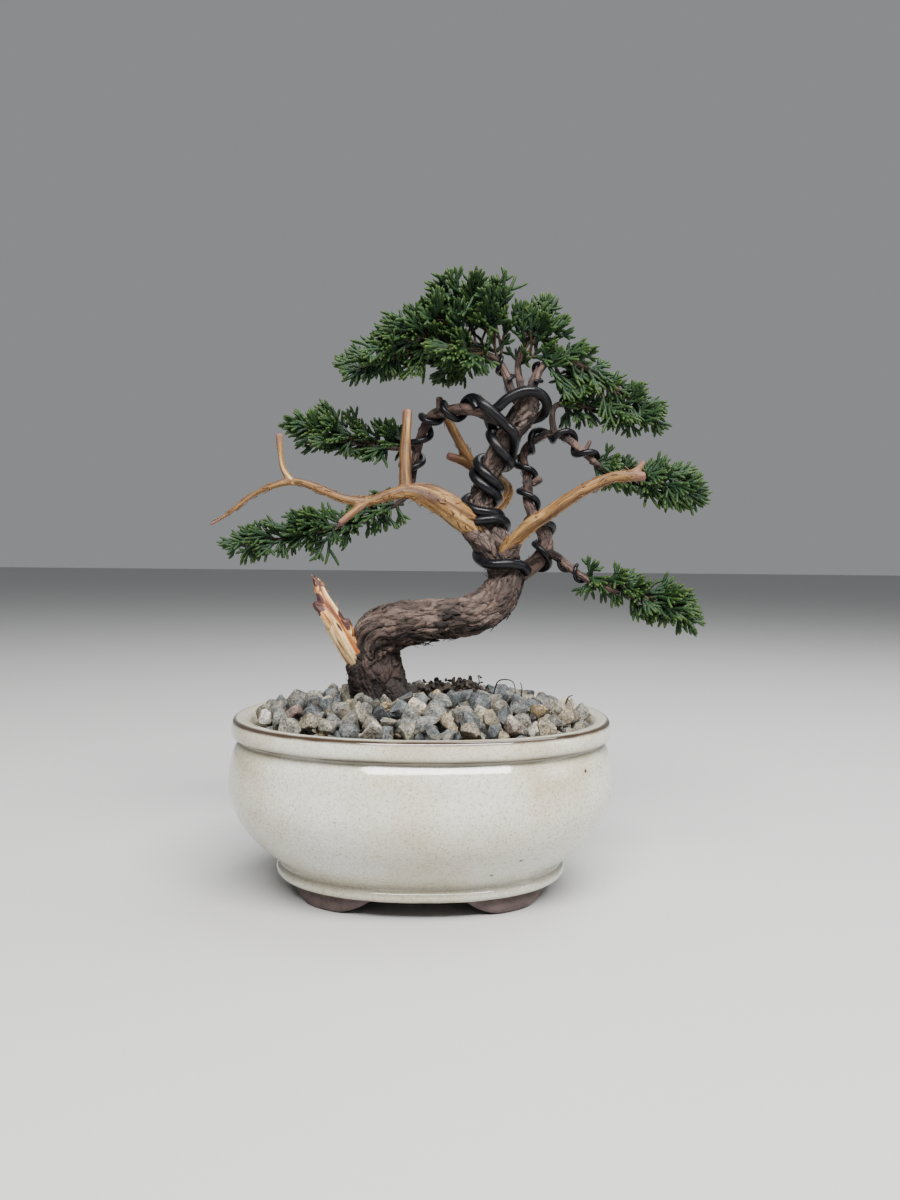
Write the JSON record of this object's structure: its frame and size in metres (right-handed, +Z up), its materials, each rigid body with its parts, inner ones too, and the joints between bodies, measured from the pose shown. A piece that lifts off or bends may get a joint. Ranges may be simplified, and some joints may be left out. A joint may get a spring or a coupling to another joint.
{
  "type": "bonsai tree in a pot",
  "caption": "Small juniper bonsai with an S-curved trunk, stripped dead branches, training wires and flat foliage sprays, planted in an oval cream glazed pot with feet and gravel.",
  "frame": {"origin": "centre of the object's bounding box on the plane that the pot's feet stand on", "axes": "+Z up, +X to the right and +Y to the back as the tree's front is seen, along the pot's long and short sides"},
  "size_m": [0.1588, 0.105, 0.2045],
  "materials": {
    "pot": "glossy cream speckled glaze, feet bare mauve-brown clay",
    "drain_screen": "moulded plastic mesh",
    "soil": "damp dark granular soil",
    "gravel": "mixed grey, blue-grey, white and ochre crushed stone",
    "bark": "fibrous brown bark with flaking plates",
    "deadwood": "bare golden dead wood with torn fibres",
    "twig_bark": "thin brown bark",
    "wire": "dark anodised soft wire, satin",
    "foliage": "deep green scale foliage with pale new tips"
  },
  "bodies": {
    "root": {"pot": "pot", "drain_screen_left": "drain_screen", "drain_screen_right": "drain_screen", "soil": "soil", "gravel_bed": "gravel", "trunk": "bark", "base_jin": "deadwood", "left_jin": "deadwood", "right_jin": "deadwood", "rear_jin": "deadwood", "second_stem": "twig_bark", "lower_right_branch": "twig_bark", "upper_left_branch": "twig_bark", "apex_left_branch": "twig_bark", "apex_mid_twig": "twig_bark", "apex_right_branch": "twig_bark", "trunk_wire_lower": "wire", "trunk_wire_upper": "wire", "collar_wire": "wire", "stem_wire": "wire", "upper_left_wire": "wire", "lower_right_wire": "wire", "apex_left_wire": "wire", "apex_right_wire": "wire", "foliage_apex_crown": "foliage", "foliage_apex_left": "foliage", "foliage_apex_front": "foliage", "foliage_apex_back": "foliage", "foliage_apex_fan": "foliage", "foliage_upper_right_inner": "foliage", "foliage_upper_right_outer": "foliage", "foliage_upper_right_low": "foliage", "foliage_right_inner": "foliage", "foliage_right_outer": "foliage", "foliage_lower_right_inner": "foliage", "foliage_lower_right_outer": "foliage", "foliage_upper_left_inner": "foliage", "foliage_upper_left_outer": "foliage", "foliage_lower_left_inner": "foliage", "foliage_lower_left_middle": "foliage", "foliage_lower_left_outer": "foliage"}
  },
  "joints": []
}
